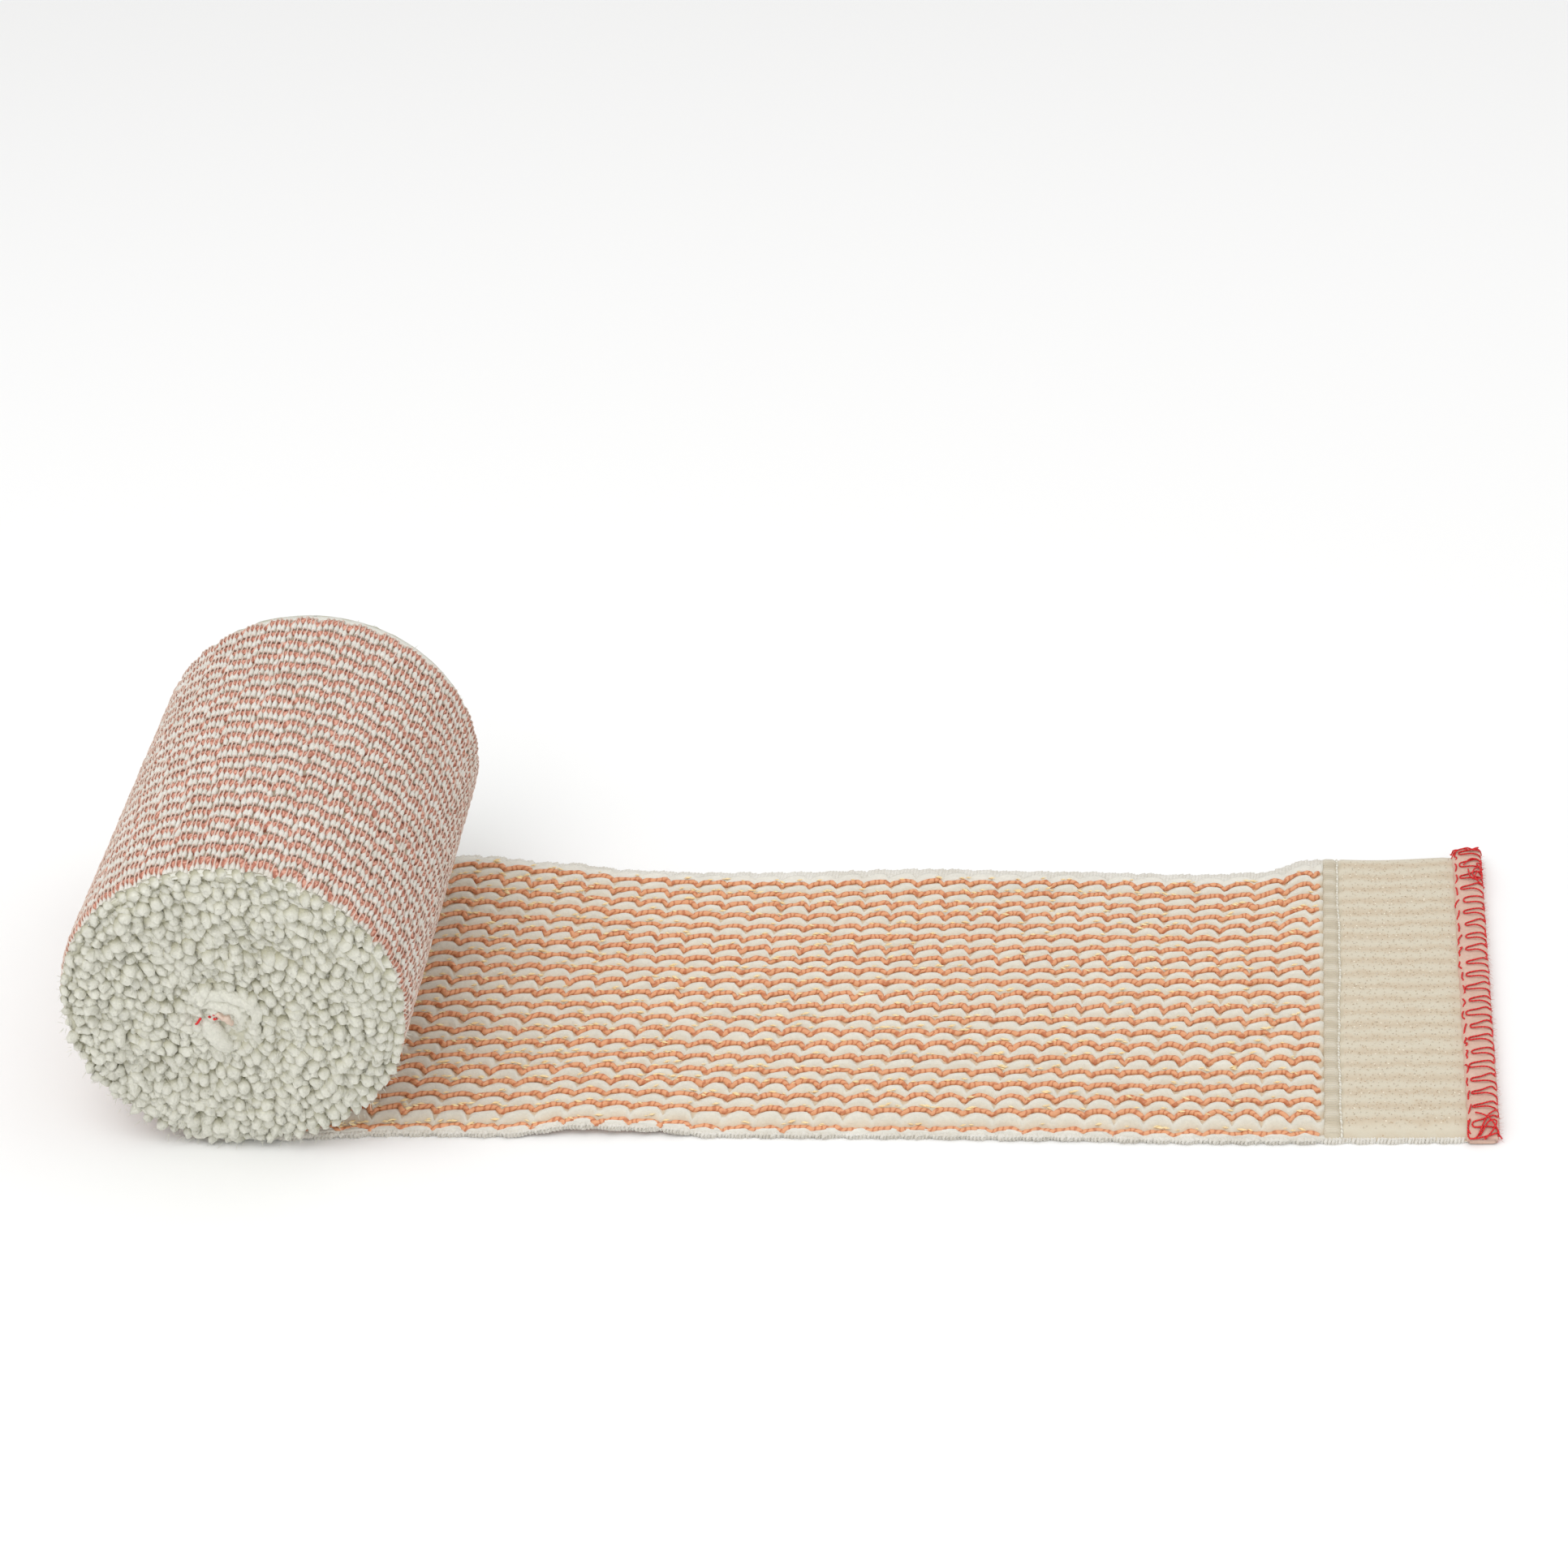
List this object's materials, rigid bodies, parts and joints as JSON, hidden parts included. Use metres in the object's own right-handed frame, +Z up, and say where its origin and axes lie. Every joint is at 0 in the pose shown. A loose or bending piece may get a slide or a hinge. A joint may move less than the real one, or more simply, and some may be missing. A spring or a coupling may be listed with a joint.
{
  "type": "elastic bandage",
  "caption": "Elastic wrap bandage, partly unrolled: a woven strip wound into a soft roll, with a flat tail that ends in a hook tape and an overlocked edge.",
  "frame": {"origin": "middle of the bandage's box, on the surface that it lies on", "axes": "+X along the tail towards its bound end, +Y across the strip from the near end of the roll to the far end, +Z up"},
  "size_m": [0.2786, 0.101, 0.0607],
  "materials": {
    "strip_weave": "puffy woven cotton with orange elastic rows",
    "hook_tape": "beige micro-hook tape, faint sheen",
    "seam_thread": "white sewing thread",
    "end_binding": "cut edge bound with red overlock thread",
    "core_binding": "folded cut edge bound with red overlock thread"
  },
  "bodies": {
    "root": {"elastic_strip": "strip_weave", "hook_panel": "hook_tape", "panel_seam": "seam_thread", "end_overlock": "end_binding", "core_overlock": "core_binding"}
  },
  "joints": []
}
